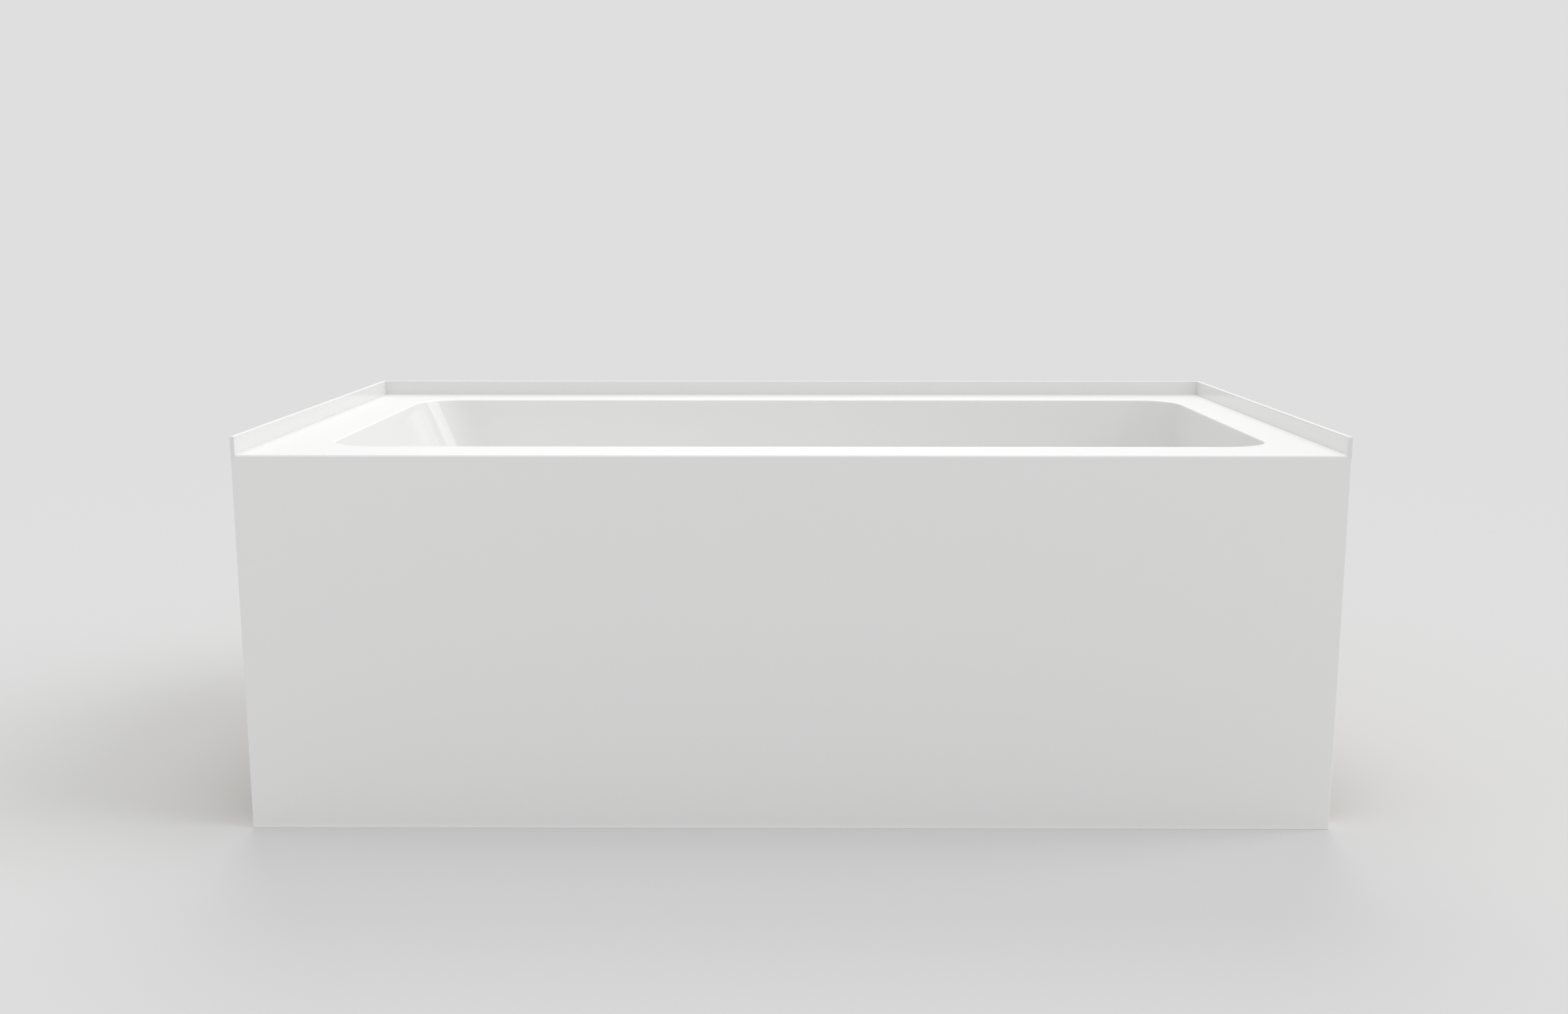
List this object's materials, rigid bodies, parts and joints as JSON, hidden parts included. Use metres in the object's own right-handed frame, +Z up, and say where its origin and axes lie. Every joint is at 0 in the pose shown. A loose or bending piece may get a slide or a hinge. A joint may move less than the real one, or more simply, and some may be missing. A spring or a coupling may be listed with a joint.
{
  "type": "alcove bathtub",
  "caption": "Alcove bathtub with a flat apron, a level deck, a straight-sided basin with a sloped backrest, and a tile flange on three sides; drain on the right.",
  "frame": {"origin": "on the floor, under the middle of the tub's outside box", "axes": "+X to the right seen from the apron, towards the drain; +Y from the apron to the back wall; +Z up"},
  "size_m": [1.524, 0.813, 0.559],
  "materials": {
    "acrylic": "gloss white cast acrylic",
    "fibreglass": "rough chopped glass fibre in resin",
    "plywood": "bare plywood",
    "timber": "planed softwood",
    "zinc_steel": "zinc plated",
    "spring_steel": "drawn wire",
    "black_plastic": "moulded, matt",
    "chrome": "polished chrome plate",
    "brass": "turned brass",
    "rubber": "moulded",
    "pvc": "semi-gloss white",
    "nut_plastic": "moulded, grey"
  },
  "bodies": {
    "tub": {"apron_board": "plywood", "apron_cleats": "zinc_steel", "apron_panel": "acrylic", "apron_posts": "timber", "apron_sill": "timber", "board_screws": "zinc_steel", "board_tabs": "zinc_steel", "cleat_screws": "zinc_steel", "cross_rail_left": "zinc_steel", "cross_rail_middle": "zinc_steel", "cross_rail_right": "zinc_steel", "drain_flange": "chrome", "drain_gasket": "rubber", "drain_shoe": "pvc", "fibreglass_backing": "fibreglass", "floor_board": "plywood", "foot_lock_nuts": "zinc_steel", "foot_weld_nuts": "zinc_steel", "long_rail_back": "zinc_steel", "long_rail_front": "zinc_steel", "overflow_cover": "chrome", "overflow_elbow": "pvc", "overflow_gasket": "rubber", "overflow_riser": "pvc", "overflow_screws": "chrome", "rail_end_caps": "black_plastic", "rim_batten_back": "timber", "rim_batten_front": "timber", "rim_batten_left": "timber", "rim_batten_right": "timber", "slip_nut_riser_high": "nut_plastic", "slip_nut_riser_low": "nut_plastic", "slip_nut_waste": "nut_plastic", "slip_washers": "rubber", "stopper_post": "brass", "stopper_spring": "spring_steel", "tile_flange_back": "acrylic", "tile_flange_left": "acrylic", "tile_flange_right": "acrylic", "tub_shell": "acrylic", "waste_pipe": "pvc", "waste_spigot": "pvc", "waste_tee": "pvc"},
    "stopper": {"stopper_barrel": "brass", "stopper_seal": "rubber", "stopper_cap": "chrome"},
    "foot_1_pad": {"foot_1_pad": "black_plastic"},
    "foot_1_stud": {"foot_1_stud": "zinc_steel"},
    "foot_2_pad": {"foot_2_pad": "black_plastic"},
    "foot_2_stud": {"foot_2_stud": "zinc_steel"},
    "foot_3_pad": {"foot_3_pad": "black_plastic"},
    "foot_3_stud": {"foot_3_stud": "zinc_steel"},
    "foot_4_pad": {"foot_4_pad": "black_plastic"},
    "foot_4_stud": {"foot_4_stud": "zinc_steel"}
  },
  "joints": [
    {"name": "stopper_slide", "type": "slide", "parent": "tub", "child": "stopper", "axis": [0, 0, 1], "range_m": [0, 0.009], "deforming": ["stopper_spring"]},
    {"name": "foot_1_height", "type": "slide", "parent": "tub", "child": "foot_1_pad", "axis": [0, 0, -1], "range_m": [0, 0.02]},
    {"name": "foot_1_turn", "type": "hinge", "parent": "foot_1_pad", "child": "foot_1_stud", "pos_m": [-0.39, -0.195, 0.03], "axis": [0, 0, -1], "range_deg": [0, 4115]},
    {"name": "foot_2_height", "type": "slide", "parent": "tub", "child": "foot_2_pad", "axis": [0, 0, -1], "range_m": [0, 0.02]},
    {"name": "foot_2_turn", "type": "hinge", "parent": "foot_2_pad", "child": "foot_2_stud", "pos_m": [-0.39, 0.195, 0.03], "axis": [0, 0, -1], "range_deg": [0, 4115]},
    {"name": "foot_3_height", "type": "slide", "parent": "tub", "child": "foot_3_pad", "axis": [0, 0, -1], "range_m": [0, 0.02]},
    {"name": "foot_3_turn", "type": "hinge", "parent": "foot_3_pad", "child": "foot_3_stud", "pos_m": [0.44, -0.195, 0.03], "axis": [0, 0, -1], "range_deg": [0, 4115]},
    {"name": "foot_4_height", "type": "slide", "parent": "tub", "child": "foot_4_pad", "axis": [0, 0, -1], "range_m": [0, 0.02]},
    {"name": "foot_4_turn", "type": "hinge", "parent": "foot_4_pad", "child": "foot_4_stud", "pos_m": [0.44, 0.195, 0.03], "axis": [0, 0, -1], "range_deg": [0, 4115]}
  ],
  "couplings": [
    {"joint": "foot_1_turn", "follows": "foot_1_height", "rad_per_m": 3590.4},
    {"joint": "foot_2_turn", "follows": "foot_2_height", "rad_per_m": 3590.4},
    {"joint": "foot_3_turn", "follows": "foot_3_height", "rad_per_m": 3590.4},
    {"joint": "foot_4_turn", "follows": "foot_4_height", "rad_per_m": 3590.4}
  ]
}
